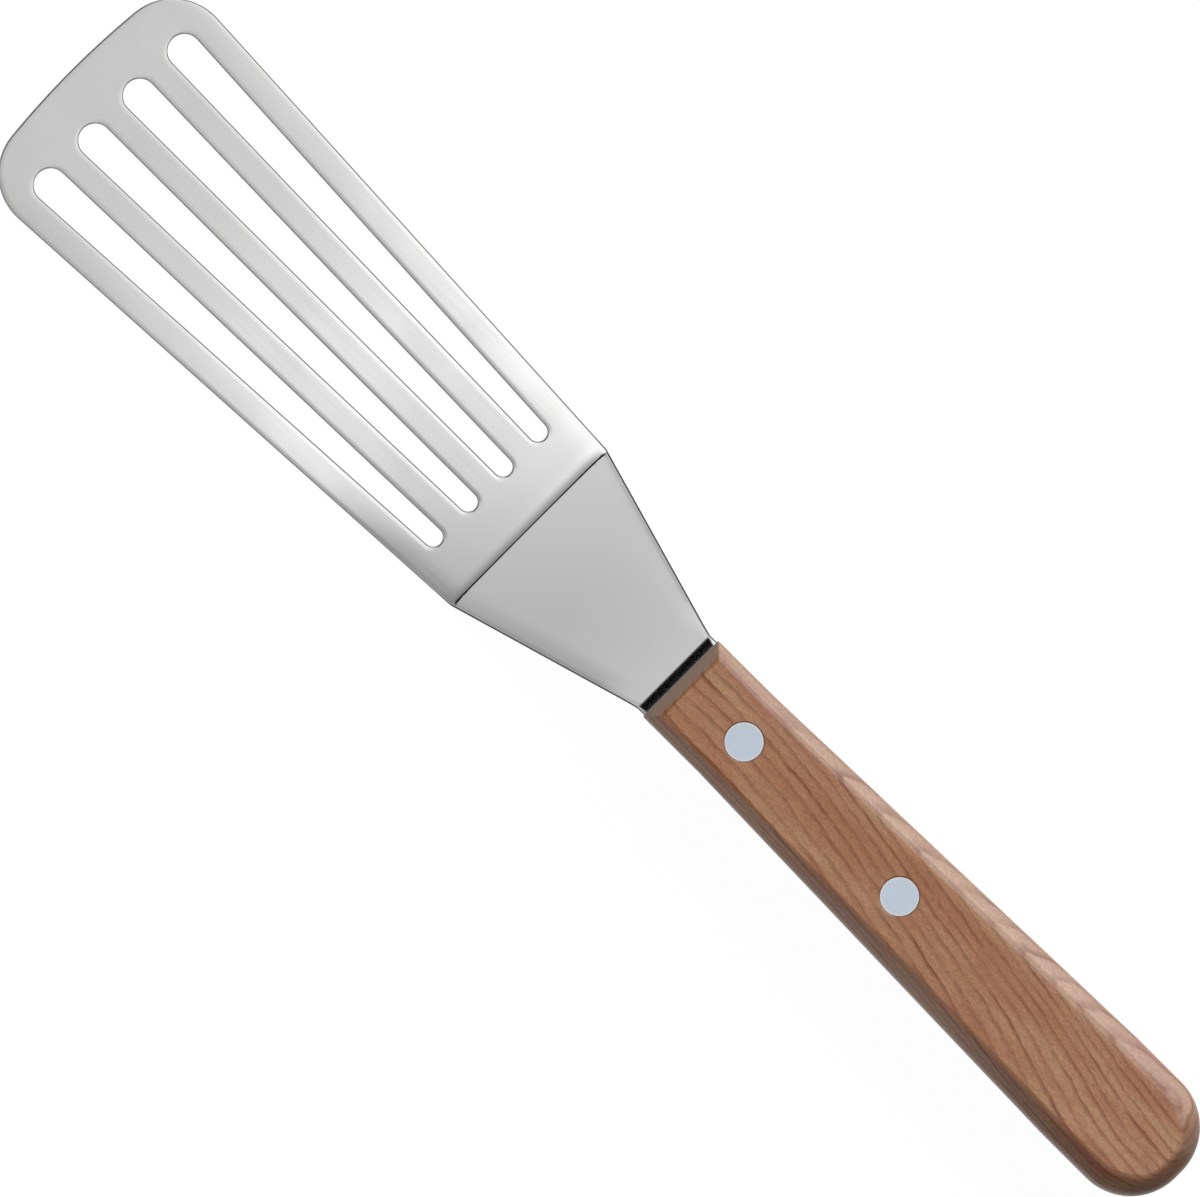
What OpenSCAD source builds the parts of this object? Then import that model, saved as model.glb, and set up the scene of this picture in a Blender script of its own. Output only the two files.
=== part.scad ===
// Slotted offset spatula: one bent steel sheet, riveted into the saw kerf of a one-piece wooden handle.
// The tool lies along X with the tip at +X. The blade's flat underside is at Z = 0.

/* [Blade] */
// Length of the flat blade, from the heel bend to the tip
blade_len = 122.5; // [100:0.5:150]
// Width across the tip, measured before the corners are rounded
tip_w = 54.7; // [46:0.1:66]
// Width of the blade at the heel bend
heel_w = 41.7; // [35:0.1:50]
// Thickness of the steel sheet
sheet_t = 1.2; // [0.8:0.1:1.6]
// Radius of the two corners of the tip
corner_r = 11.3; // [6:0.1:16]
// Radius of the shallow curve across the tip
tip_curve_r = 170; // [120:5:300]

/* [Slots] */
// Number of slots side by side, with a bar on each side of every slot
slot_count = 4; // [2:1:5]
// Width of each bar, the same from end to end
bar_w = 5.6; // [4:0.1:6.8]
// Solid steel between the tip and the slots
tip_margin = 9.4; // [6:0.1:16]
// Solid steel between the heel bend and the slots
heel_margin = 10; // [6:0.1:20]

/* [Neck] */
// Level distance from the heel bend to the front of the handle
neck_run = 40.1; // [32:0.1:55]
// Flat of the tang that shows between its bend and the handle
tang_show = 0.3; // [0.1:0.1:3]
// Height of the tang above the blade
crank_rise = 21; // [10:0.5:30]
// Inside radius of the bend at the heel
heel_bend_r = 1.2; // [0.8:0.1:4]
// Inside radius of the bend at the handle
tang_bend_r = 2.4; // [0.8:0.1:4]

/* [Tang] */
// How far the edges of the tang lie inside the sides of the handle's front
tang_setback = 0.4; // [0.2:0.1:3]
// Length of the tang behind the rear rivet
tang_past_rivet = 11.8; // [6:0.1:20]
// Radius of the two corners at the end of the tang
tang_corner_r = 3; // [1:0.1:6]

/* [Handle] */
// Length of the handle
handle_len = 132.4; // [110:0.1:160]
// Width of the handle at its front
handle_front_w = 20.2; // [16:0.1:24]
// Width of the handle at its widest, near the butt
handle_rear_w = 25.5; // [21:0.1:31]
// Thickness of the handle at its front
handle_front_t = 15; // [12:0.1:18]
// Thickness of the handle at its butt
handle_rear_t = 18.5; // [15:0.1:23]
// Length behind the front over which the sides stay parallel
parallel_len = 14.8; // [8:0.1:30]
// Distance from the butt at which the handle reaches its full width
belly_from_butt = 23.4; // [18:0.1:40]
// Radius of the butt's corners, seen from above
butt_r = 11.9; // [8:0.1:14]
// Width of the chamfer round each face, at the front
chamfer_front = 2.15; // [1:0.05:3]
// Width of the chamfer round each face, at the butt
chamfer_rear = 3.6; // [1.5:0.05:5]

/* [Kerf] */
// Radius of the saw blade that cut the kerf for the tang
saw_r = 75; // [55:1:120]
// Empty kerf behind the end of the tang
kerf_past_tang = 2; // [1:0.1:6]
// Gap between the kerf and each face of the tang
kerf_gap = 0.05; // [0.02:0.01:0.2]

/* [Rivets] */
// Distance from the handle's front to the front rivet
front_rivet_at = 16.9; // [10:0.1:25]
// Distance from the handle's front to the rear rivet
rear_rivet_at = 58.2; // [45:0.1:75]
// Diameter of the rivet heads
rivet_head_d = 7.5; // [6:0.1:9]
// Thickness of the rivet heads, which are let into the wood
rivet_head_t = 1.8; // [1:0.1:3]
// Outer diameter of the rivet's sleeve
rivet_sleeve_d = 5; // [4:0.1:5.8]
// Diameter of the stud that is pressed into the sleeve
rivet_stud_d = 3.4; // [2.5:0.1:4]
// Gap between the rivet and its holes in wood and steel
rivet_gap = 0.05; // [0.02:0.01:0.15]
// Gap left inside the rivet, at each end of the press fit
rivet_end_gap = 0.4; // [0.2:0.1:1]

/* [Hidden] */

// Facets on full circles
$fn = 96;
// How far a cut runs past the material that it cuts
overrun = 1;
// How far an arc laps over the straight lines that it runs into, so that they cross at a clear point
arc_lap = 0.01;
// Depth of the handle's chamfer for each millimetre of its width
chamfer_slope = 1.1;
// Share of the chamfer over which each of its edges is sanded round
edge_round_share = 0.22;
// Steps in each sanded edge, and in each corner of the butt
edge_steps = 3;
butt_steps = 12;
// Least straight length left across the butt
butt_flat_min = 0.5;

// Places along X, from the butt to the tip
total_len = handle_len + neck_run + blade_len;
butt_x = -total_len / 2;
front_x = butt_x + handle_len;
heel_x = front_x + neck_run;
tip_x = heel_x + blade_len;
tang_bend_x = front_x + tang_show;
front_rivet_x = front_x - front_rivet_at;
rear_rivet_x = front_x - rear_rivet_at;
tang_end_x = rear_rivet_x - tang_past_rivet;
kerf_end_x = tang_end_x - kerf_past_tang;

// Height of the handle's middle plane, which is the middle of the tang
axis_z = crank_rise + sheet_t / 2;

// Slope of the neck, so that both bends and the straight between them fill the run and the rise
slope_run = heel_x - tang_bend_x;
bend_sum = heel_bend_r + tang_bend_r + sheet_t;
slope_reach = norm([slope_run, bend_sum - crank_rise]);
neck_angle = asin(bend_sum / slope_reach) - atan2(bend_sum - crank_rise, slope_run);

// Width of the tang where it enters the handle
tang_w = handle_front_w - 2 * tang_setback;
// The neck narrows up to the place where the bend at the handle starts
taper_end_x = tang_bend_x + (tang_bend_r + sheet_t) * sin(neck_angle);

// Side line of the blade, and the corner circle that touches both it and the tip curve
side_angle = atan2((tip_w - heel_w) / 2, blade_len);
side_dir = [cos(side_angle), sin(side_angle)];
side_out = [-sin(side_angle), cos(side_angle)];
tip_centre = [tip_x - tip_curve_r, 0];
corner_from = [heel_x, heel_w / 2] - corner_r * side_out - tip_centre;
corner_along = corner_from * side_dir;
corner_rest = corner_from * corner_from - pow(tip_curve_r - corner_r, 2);
corner_centre = tip_centre + corner_from + (sqrt(pow(corner_along, 2) - corner_rest) - corner_along) * side_dir;
tip_ray = (corner_centre - tip_centre) / norm(corner_centre - tip_centre);

// The butt's corner, which can't be wider than the handle
butt_corner_r = min(butt_r, (handle_rear_w - butt_flat_min) / 2);

function mirrored(p) = [p.x, -p.y];
// Point where the lines square to the unit directions a and b cross, each line r away from the origin.
function corner_reach(r, a, b) = 2 * r * (a + b) / ((a + b) * (a + b));
function between(a, b, share) = a + (b - a) * share;
function along_handle(x) = (front_x - x) / handle_len;
function half_thickness(x) = between(handle_front_t, handle_rear_t, along_handle(x)) / 2;
function chamfer_width(x) = between(chamfer_front, chamfer_rear, along_handle(x));
function blade_width(x) = between(heel_w, tip_w, (x - heel_x) / blade_len);
function slot_width(x) = (blade_width(x) - (slot_count + 1) * bar_w) / slot_count;
function slot_middle(i, x) = (i - (slot_count - 1) / 2) * (slot_width(x) + bar_w);

// Waste outside the arc of a rounded corner, which runs from direction a to direction b.
module corner_waste(centre, r, a, b) {
    translate(centre)
        difference() {
            polygon([[0, 0], (r + overrun) * a, corner_reach(r + overrun, a, b), (r + overrun) * b]);
            circle(r = r + arc_lap);
        }
}

// The bent sheet seen from the side: blade, heel bend, sloping neck, tang bend and tang. The polygon reaches
// to the centre of each bend, and a circle cuts the inside of the bend.
module side_profile() {
    up = [0, 1];
    across = [sin(neck_angle), cos(neck_angle)];
    heel_centre = [heel_x, sheet_t + heel_bend_r];
    tang_centre = [tang_bend_x, crank_rise - tang_bend_r];
    difference() {
        polygon([
            [tip_x + overrun, 0],
            heel_centre + corner_reach(heel_bend_r + sheet_t, -up, -across),
            tang_centre + tang_bend_r * across,
            tang_centre,
            [tang_bend_x, crank_rise],
            [tang_end_x, crank_rise],
            [tang_end_x, crank_rise + sheet_t],
            tang_centre + corner_reach(tang_bend_r + sheet_t, across, up),
            heel_centre - heel_bend_r * across,
            heel_centre,
            [heel_x, sheet_t],
            [tip_x + overrun, sheet_t]
        ]);
        translate(heel_centre)
            circle(r = heel_bend_r + arc_lap);
        translate(tang_centre)
            circle(r = tang_bend_r + arc_lap);
        corner_waste(heel_centre, heel_bend_r + sheet_t, -up, -across);
        corner_waste(tang_centre, tang_bend_r + sheet_t, across, up);
    }
}

// Outline of the flat sheet seen from above, with its ends square and then with them rounded.
module square_outline() {
    tip_half = blade_width(tip_x + overrun) / 2;
    polygon([
        [tang_end_x, tang_w / 2],
        [taper_end_x, tang_w / 2],
        [heel_x, heel_w / 2],
        [tip_x + overrun, tip_half],
        [tip_x + overrun, -tip_half],
        [heel_x, -heel_w / 2],
        [taper_end_x, -tang_w / 2],
        [tang_end_x, -tang_w / 2]
    ]);
}

module sheet_outline() {
    tang_corner = [tang_end_x + tang_corner_r, tang_w / 2 - tang_corner_r];
    difference() {
        square_outline();
        difference() {
            translate([tip_x - corner_r, -tip_w])
                square([corner_r + 2 * overrun, 2 * tip_w]);
            translate(tip_centre)
                circle(r = tip_curve_r, $fn = 4 * $fn);
        }
        corner_waste(corner_centre, corner_r, side_out, tip_ray);
        corner_waste(mirrored(corner_centre), corner_r, mirrored(side_out), mirrored(tip_ray));
        corner_waste(tang_corner, tang_corner_r, [0, 1], [-1, 0]);
        corner_waste(mirrored(tang_corner), tang_corner_r, [0, -1], [-1, 0]);
    }
}

// One slot: straight sides that keep the bars parallel, and an end of full radius at each end.
module slot_outline(i) {
    tip_end = tip_x - tip_margin;
    heel_end = heel_x + heel_margin;
    tip_r = slot_width(tip_end) / 2;
    heel_r = slot_width(heel_end) / 2;
    tip_middle = [tip_end - tip_r, slot_middle(i, tip_end - tip_r)];
    heel_middle = [heel_end + heel_r, slot_middle(i, heel_end + heel_r)];
    axis = (tip_middle - heel_middle) / norm(tip_middle - heel_middle);
    flare = asin((tip_r - heel_r) / norm(tip_middle - heel_middle));
    left = cos(flare) * [-axis.y, axis.x] - sin(flare) * axis;
    right = cos(flare) * [axis.y, -axis.x] - sin(flare) * axis;
    left_run = (tip_r + overrun) * [left.y, -left.x];
    right_run = (tip_r + overrun) * [-right.y, right.x];
    difference() {
        polygon([
            heel_middle + heel_r * left - left_run,
            tip_middle + tip_r * left + left_run,
            tip_middle + tip_r * right + right_run,
            heel_middle + heel_r * right - right_run
        ]);
        slot_end_waste(tip_middle, tip_r, left, right, axis);
        slot_end_waste(heel_middle, heel_r, right, left, -axis);
    }
}

// Waste round the full-radius end of a slot, from the points where its sides meet the arc.
module slot_end_waste(middle, r, a, b, outward) {
    across = overrun * (a - b) / norm(a - b);
    far = 2 * (r + overrun) * outward;
    difference() {
        polygon([
            middle + r * a + across,
            middle + r * a + across + far,
            middle + r * b - across + far,
            middle + r * b - across
        ]);
        translate(middle)
            circle(r = r + arc_lap);
    }
}

module blade() {
    tall = crank_rise + sheet_t + 2 * overrun;
    color("#C9CACB")
        difference() {
            intersection() {
                rotate([90, 0, 0])
                    linear_extrude(height = tip_w + 2 * overrun, center = true)
                        side_profile();
                translate([0, 0, -overrun])
                    linear_extrude(height = tall)
                        sheet_outline();
            }
            translate([0, 0, -overrun])
                linear_extrude(height = sheet_t + 2 * overrun)
                    for (i = [0:slot_count - 1])
                        slot_outline(i);
            for (x = [front_rivet_x, rear_rivet_x])
                translate([x, 0, crank_rise - overrun])
                    cylinder(d = rivet_sleeve_d + 2 * rivet_gap, h = sheet_t + 2 * overrun);
        }
}

// Outer outline of the handle from above, as [point, inward direction] pairs, first down one side and back up the other.
function handle_side() = concat(
    [[[front_x, handle_front_w / 2], [-1, -1]]],
    [[[front_x - parallel_len, handle_front_w / 2], [0, -1]]],
    [[[butt_x + belly_from_butt, handle_rear_w / 2], [0, -1]]],
    [for (k = [0:butt_steps])
        let (a = 90 + 90 * k / butt_steps, ray = [cos(a), sin(a)])
            [[butt_x + butt_corner_r, handle_rear_w / 2 - butt_corner_r] + butt_corner_r * ray, -ray]]
);
function handle_outline() = let (side = handle_side(), last = len(side) - 1) concat(
    side,
    [for (k = [0:last]) [mirrored(side[last - k][0]), mirrored(side[last - k][1])]]
);

// Section through the chamfer, as [share of its width, share of its depth] pairs, with both edges sanded round.
function curve_point(a, b, c, t) = pow(1 - t, 2) * a + 2 * t * (1 - t) * b + pow(t, 2) * c;
function chamfer_shares() = let (e = edge_round_share) concat(
    [for (k = [0:edge_steps]) curve_point([1 + e, 0], [1, 0], [1 - e, e], k / edge_steps)],
    [for (k = [0:edge_steps]) curve_point([e, 1 - e], [0, 1], [0, 1 + e], k / edge_steps)]
);
function handle_ring(shares, side) = [
    for (o = handle_outline())
        let (c = chamfer_width(o[0].x), p = o[0] + shares[0] * c * o[1])
            [p.x, p.y, axis_z + side * (half_thickness(p.x) - shares[1] * chamfer_slope * c)]
];

module handle_block() {
    shares = chamfer_shares();
    levels = len(shares);
    rings = concat(
        [for (k = [0:levels - 1]) handle_ring(shares[k], 1)],
        [for (k = [levels - 1:-1:0]) handle_ring(shares[k], -1)]
    );
    count = len(rings[0]);
    last = len(rings) - 1;
    polyhedron(
        points = [for (ring = rings) each ring],
        faces = concat(
            [[for (k = [count - 1:-1:0]) k]],
            [for (j = [0:last - 1], k = [0:count - 1])
                let (next = (k + 1) % count)
                    [j * count + k, j * count + next, (j + 1) * count + k]],
            [for (j = [0:last - 1], k = [0:count - 1])
                let (next = (k + 1) % count)
                    [j * count + next, (j + 1) * count + next, (j + 1) * count + k]],
            [[for (k = [0:count - 1]) last * count + k]]
        )
    );
}

// Height at which a rivet head sits in the wood, on the upper or the lower face.
function seat_z(x, side) = axis_z + side * (half_thickness(x) - rivet_head_t);

module rivet_hole(x) {
    low = seat_z(x, -1);
    high = seat_z(x, 1);
    deep = rivet_head_t + overrun;
    translate([x, 0, low - overrun])
        cylinder(d = rivet_sleeve_d + 2 * rivet_gap, h = high - low + 2 * overrun);
    translate([x, 0, high])
        cylinder(d = rivet_head_d + 2 * rivet_gap, h = deep);
    translate([x, 0, low - deep])
        cylinder(d = rivet_head_d + 2 * rivet_gap, h = deep);
}

module handle() {
    color("#A97A55")
        difference() {
            handle_block();
            translate([kerf_end_x + saw_r, 0, crank_rise - kerf_gap])
                cylinder(r = saw_r, h = sheet_t + 2 * kerf_gap, $fn = 4 * $fn);
            rivet_hole(front_rivet_x);
            rivet_hole(rear_rivet_x);
        }
}

// Space between the two tapering faces of the handle, to which the rivet heads are ground flush.
module between_faces() {
    rotate([90, 0, 0])
        linear_extrude(height = handle_rear_w, center = true)
            polygon([
                [front_x, axis_z - handle_front_t / 2],
                [front_x, axis_z + handle_front_t / 2],
                [butt_x, axis_z + handle_rear_t / 2],
                [butt_x, axis_z - handle_rear_t / 2]
            ]);
}

module rivet_sleeve(x) {
    low = seat_z(x, -1);
    high = seat_z(x, 1);
    color("#C4CDD5")
        intersection() {
            between_faces();
            difference() {
                union() {
                    translate([x, 0, low - rivet_head_t - overrun])
                        cylinder(d = rivet_head_d, h = rivet_head_t + overrun);
                    translate([x, 0, low - rivet_head_t / 2])
                        cylinder(d = rivet_sleeve_d, h = high - low - rivet_end_gap + rivet_head_t / 2);
                }
                translate([x, 0, low])
                    cylinder(d = rivet_stud_d, h = high - low);
            }
        }
}

module rivet_stud(x) {
    low = seat_z(x, -1) + rivet_end_gap;
    high = seat_z(x, 1);
    color("#C4CDD5")
        intersection() {
            between_faces();
            union() {
                translate([x, 0, high])
                    cylinder(d = rivet_head_d, h = rivet_head_t + overrun);
                translate([x, 0, low])
                    cylinder(d = rivet_stud_d, h = high - low + rivet_head_t / 2);
            }
        }
}

blade();
handle();
rivet_sleeve(front_rivet_x);  // front_rivet_sleeve
rivet_stud(front_rivet_x);  // front_rivet_stud
rivet_sleeve(rear_rivet_x);  // rear_rivet_sleeve
rivet_stud(rear_rivet_x);  // rear_rivet_stud
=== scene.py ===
# Slotted offset spatula: one bent sheet of steel, held by two rivets in the saw kerf of a wooden handle.
# Mesh code works in millimetres, in the frame of the CAD model, and turns to metres as a mesh is made.
import math
from functools import partial

import bpy
import numpy as np
from mathutils import Matrix, Vector
from mathutils.geometry import delaunay_2d_cdt


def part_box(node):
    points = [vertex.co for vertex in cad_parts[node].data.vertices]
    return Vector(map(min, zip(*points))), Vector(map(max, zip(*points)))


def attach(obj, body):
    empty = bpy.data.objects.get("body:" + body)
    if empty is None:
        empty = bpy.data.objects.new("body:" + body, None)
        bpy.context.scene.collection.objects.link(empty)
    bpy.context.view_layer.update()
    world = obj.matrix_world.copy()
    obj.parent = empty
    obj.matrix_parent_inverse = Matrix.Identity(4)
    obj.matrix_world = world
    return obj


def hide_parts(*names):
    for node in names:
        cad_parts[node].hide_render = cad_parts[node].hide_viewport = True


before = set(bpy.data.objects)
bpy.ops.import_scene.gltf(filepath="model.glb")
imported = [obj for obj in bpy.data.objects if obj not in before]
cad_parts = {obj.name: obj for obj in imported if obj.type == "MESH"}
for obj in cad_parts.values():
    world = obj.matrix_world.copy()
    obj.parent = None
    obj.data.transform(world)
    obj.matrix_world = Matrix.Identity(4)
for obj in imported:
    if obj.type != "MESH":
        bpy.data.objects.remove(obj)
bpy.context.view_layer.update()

# Blade. One piece of stainless sheet: the slotted blade, the cranked neck and the tang inside the handle.
# It is punched from flat sheet, bent in two places, belt-ground to a satin on the blade, and its
# punched edges are tumbled soft.
MM = 0.001
blade_low, blade_high = [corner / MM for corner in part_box("blade")]
handle_low, handle_high = [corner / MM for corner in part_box("handle")]
sheet_t = 1.2
blade_len = 122.2
tip_w = 54.7
heel_w = 41.7
corner_r = 11.3
tip_curve_r = 170.0
bar_w = 5.6
heel_bend_r = 1.2
tang_bend_r = 4.35
tang_show = -0.55
tang_w = 19.4
tang_corner_r = 3.0
tip_x = blade_high.x
heel_x = tip_x - blade_len
tang_end_x = blade_low.x
front_x = handle_high.x
tang_bend_x = front_x + tang_show
crank_rise = blade_high.z - sheet_t
axis_z = crank_rise + sheet_t / 2

# The neck's slope follows from its run, its rise and the two bends.
bend_sum = heel_bend_r + tang_bend_r + sheet_t
neck_span = math.hypot(heel_x - tang_bend_x, bend_sum - crank_rise)
neck_angle = math.asin(bend_sum / neck_span) - math.atan2(bend_sum - crank_rise, heel_x - tang_bend_x)

# Bends on the middle of the sheet, whose length is measured along the steel from the heel towards the tip.
heel_bend_mid = heel_bend_r + sheet_t / 2
tang_bend_mid = tang_bend_r + sheet_t / 2
heel_centre = Vector((heel_x, sheet_t + heel_bend_r))
tang_centre = Vector((tang_bend_x, crank_rise - tang_bend_r))
neck_foot = heel_centre - heel_bend_mid * Vector((math.sin(neck_angle), math.cos(neck_angle)))
neck_head = tang_centre + tang_bend_mid * Vector((math.sin(neck_angle), math.cos(neck_angle)))
heel_bend_len = heel_bend_mid * neck_angle
tang_bend_len = tang_bend_mid * neck_angle
neck_len = (neck_head - neck_foot).length
neck_from = -heel_bend_len
neck_to = neck_from - neck_len
tang_from = neck_to - tang_bend_len
taper_end_x = tang_bend_x + (tang_bend_r + sheet_t) * math.sin(neck_angle)


def sheet_middle(s):
    """Place (x, z) and lean of the sheet's middle, s mm along the steel from the heel towards the tip."""
    if s >= 0:
        return Vector((heel_x + s, sheet_t / 2)), 0.0
    if s >= neck_from:
        lean = -s / heel_bend_mid
        return heel_centre - heel_bend_mid * Vector((math.sin(lean), math.cos(lean))), lean
    if s >= neck_to:
        share = (neck_from - s) / neck_len
        return neck_foot.lerp(neck_head, share), neck_angle
    if s >= tang_from:
        lean = (s - tang_from) / tang_bend_mid
        return tang_centre + tang_bend_mid * Vector((math.sin(lean), math.cos(lean))), lean
    return Vector((tang_bend_x + s - tang_from, axis_z)), 0.0


def smooth(low, high, value):
    """From 0 at low to 1 at high, easing in and out."""
    share = min(1.0, max(0.0, (value - low) / (high - low)))
    return share * share * (3 - 2 * share)


# The press leaves the sheet a little uneven: it starts to lift before the bend, and round the bend it is
# bowed across, most of all beside its margins, which is what shades the blade there.
lead_in = 3.0
lead_in_lean = math.radians(4.8)
bow = 0.28
bow_from, bow_to = 6.0, 40.0
margin_roll = 0.13
margin_roll_w = 4.4
tip_roll_share = 0.3
neck_roll_from = 8.0
sprung_lift = 0.1
sprung_from, sprung_to = 12.0, 62.0


def sheet_half_width(x):
    """Half width of the sheet at x, without its rounded corners."""
    if x >= heel_x:
        return (heel_w + (tip_w - heel_w) * (x - heel_x) / blade_len) / 2
    share = max(0.0, (x - taper_end_x) / (heel_x - taper_end_x))
    return (tang_w + (heel_w - tang_w) * share) / 2


def sheet_lift(s, y):
    """How far the sheet's middle stands off its true place, along its normal."""
    lift = 0.0
    if s > 0:
        rest = max(0.0, lead_in - s)
        lift += lead_in_lean * rest * rest / (2 * lead_in)
    elif s > neck_to:
        start = lead_in_lean * lead_in / 2
        after = min(1.0, -s / heel_bend_len)
        turn = lead_in_lean * heel_bend_len * (after - after * after / 2)
        whole = lead_in_lean * heel_bend_len / 2
        lift += (start + turn) if s > neck_from else (start + whole) * (s - neck_to) / neck_len
    half = sheet_half_width(sheet_middle(s)[0].x)
    across = abs(y) / half
    out = max(0.0, abs(y) - (half - margin_roll_w)) / margin_roll_w
    if s > 0:
        fade = 1 - smooth(bow_from, bow_to, s)
        roll = tip_roll_share + (1 - tip_roll_share) * fade
        lift += roll * margin_roll * (1 - out * out)
        # One margin has sprung up a little in its first half.
        middle = (sprung_from + sprung_to) / 2
        sprung = smooth(sprung_from, middle, s) * (1 - smooth(middle, sprung_to, s))
        lift += sprung_lift * sprung * max(0.0, y - (half - bar_w)) / bar_w
    else:
        fade = smooth(neck_to, 0, s)
        roll = smooth(neck_to, neck_to + neck_roll_from, s)
        lift += margin_roll * (fade - roll * out * out)
    return lift + fade * bow * (1 - across * across)


def sheet_point(s, y, height):
    """The point at that height over the sheet's middle, and the sheet's own upward direction there."""
    middle, lean = sheet_middle(s)
    up = Vector((math.sin(lean), 0, math.cos(lean)))
    along = Vector((math.cos(lean), 0, -math.sin(lean)))
    step = 0.05
    slope_s = (sheet_lift(s + step, y) - sheet_lift(s - step, y)) / (2 * step)
    slope_y = (sheet_lift(s, y + step) - sheet_lift(s, y - step)) / (2 * step)
    point = Vector((middle.x, y, middle.y)) + up * (height + sheet_lift(s, y))
    facing = (up - along * slope_s - Vector((0, slope_y, 0))).normalized()
    return point, facing, along


# Edge of the sheet: a soft shoulder from the belt, then the tumbled corner. The belt runs along the blade, so
# the long sides have more of a shoulder than the ends, and less of it near the tip. The bend at the handle
# rolls them further.
shoulder_w = 1.1
heel_shoulder = math.radians(5)
tip_shoulder = math.radians(2)
tang_shoulder = math.radians(12)
end_shoulder = math.radians(0.8)
shoulder_fades_from, shoulder_fades_to = 50.0, 95.0
tang_shoulder_before, tang_shoulder_after = 0.5, 2.0
edge_r = 0.34
shoulder_steps = 4
edge_steps = 6


def shoulder_lean(s, out):
    on_side = smooth(0.4, 0.95, abs(out.y))
    if s > 0:
        share = smooth(shoulder_fades_from, shoulder_fades_to, s)
        lean = heel_shoulder + (tip_shoulder - heel_shoulder) * share
    else:
        share = smooth(neck_to - tang_shoulder_before, neck_to + tang_shoulder_after, s)
        lean = tang_shoulder + (heel_shoulder - tang_shoulder) * share
    return end_shoulder + (lean - end_shoulder) * on_side


def edge_profile(shoulder):
    """Down over the edge: distance in from the outline, depth under the face, and lean of the surface."""
    shoulder_in = edge_r * (1 - math.sin(shoulder))
    shoulder_depth = (shoulder_w - shoulder_in) * shoulder / 2
    profile = []
    for k in range(shoulder_steps + 1):
        share = k / shoulder_steps
        inset = shoulder_w + (shoulder_in - shoulder_w) * share
        profile.append((inset, shoulder_depth * share * share, shoulder * share))
    for k in range(1, edge_steps + 1):
        lean = shoulder + (math.pi / 2 - shoulder) * k / edge_steps
        depth = shoulder_depth + edge_r * (math.cos(shoulder) - math.cos(lean))
        profile.append((edge_r * (1 - math.sin(lean)), depth, lean))
    return profile


def arc_points(centre, radius, start, end, steps):
    return [
        Vector(centre) + radius * Vector((math.cos(a), math.sin(a)))
        for a in (start + (end - start) * k / steps for k in range(steps + 1))
    ]


def spread(start, end, spacing):
    """Evenly spaced values from start up to, and without, end."""
    count = max(1, math.ceil(abs(end - start) / spacing))
    return [start + (end - start) * k / count for k in range(count)]


# Outline, first with +Y: round the tang's corner, along the side, round the tip's corner and along the tip.
# The corner's centre is one corner radius in from the side and from the tip's curve.
side_angle = math.atan2((tip_w - heel_w) / 2, blade_len)
side_dir = Vector((math.cos(side_angle), math.sin(side_angle)))
side_out = Vector((-side_dir.y, side_dir.x))
tip_centre = Vector((blade_len - tip_curve_r, 0))
from_tip_centre = Vector((0, heel_w / 2)) - corner_r * side_out - tip_centre
along_side = from_tip_centre.dot(side_dir)
past_curve = from_tip_centre.dot(from_tip_centre) - (tip_curve_r - corner_r) ** 2
along_tip = math.sqrt(along_side ** 2 - past_curve) - along_side
corner_centre = tip_centre + from_tip_centre + along_tip * side_dir
tip_ray = (corner_centre - tip_centre).normalized()
tip_angle = math.atan2(tip_ray.y, tip_ray.x)
corner_start = (corner_centre + corner_r * side_out).x
tang_start = tang_from - (tang_bend_x - tang_end_x)
tang_corner_end = tang_start + tang_corner_r

# The points of the sides lie close together in and beside the bends, and further apart where it is flat.
beside_bend = 2.0
blade_spacing = 2.5
columns = []
for start, end, spacing in (
    (tang_corner_end, tang_from, 6.0),
    (tang_from, neck_to, tang_bend_len / 14),
    (neck_to, neck_from - beside_bend, 3.0),
    (neck_from - beside_bend, neck_from, 0.4),
    (neck_from, 0, heel_bend_len / 8),
    (0, lead_in, 0.4),
    (lead_in, corner_start, blade_spacing),
):
    columns += spread(start, end, spacing)
tang_corner = (tang_corner_end, tang_w / 2 - tang_corner_r)
side = arc_points(tang_corner, tang_corner_r, math.pi, math.pi / 2, steps=8)[:-1]
side += [Vector((s, sheet_half_width(sheet_middle(s)[0].x))) for s in columns]
side += arc_points(corner_centre, corner_r, math.pi / 2 + side_angle, tip_angle, steps=22)[:-1]
side += arc_points(tip_centre, tip_curve_r, tip_angle, 0, steps=14)
outline = [Vector((p.x, -p.y)) for p in side] + side[-2::-1]

# Slots: straight sides that keep the bars parallel, and an end of full radius at each end.
slot_count = 4
tip_margin = 9.4
heel_margin = 9.7
slot_end_steps = 28
slot_side_steps = 36


def slot_width(s):
    return (2 * sheet_half_width(heel_x + s) - (slot_count + 1) * bar_w) / slot_count


def slot_loop(number):
    """Outline of one slot. Like those of the holes, it runs the other way round than the sheet's own."""
    tip_r = slot_width(blade_len - tip_margin) / 2
    heel_r = slot_width(heel_margin) / 2
    ends = []
    for s in (heel_margin + heel_r, blade_len - tip_margin - tip_r):
        ends.append(Vector((s, (number - (slot_count - 1) / 2) * (slot_width(s) + bar_w))))
    axis = (ends[1] - ends[0]).normalized()
    flare = math.asin((tip_r - heel_r) / (ends[1] - ends[0]).length)
    turn = math.atan2(axis.y, axis.x)
    quarter = math.pi / 2
    after, before = turn + quarter + flare, turn - quarter - flare
    tip_arc = arc_points(ends[1], tip_r, after, before, slot_end_steps)
    heel_arc = arc_points(ends[0], heel_r, before, after - 2 * math.pi, slot_end_steps)
    loop = []
    for arc, following in ((tip_arc, heel_arc), (heel_arc, tip_arc)):
        loop += arc[:-1]
        loop += [arc[-1].lerp(following[0], share) for share in spread(0, 1, 1 / slot_side_steps)]
    return loop


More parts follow.
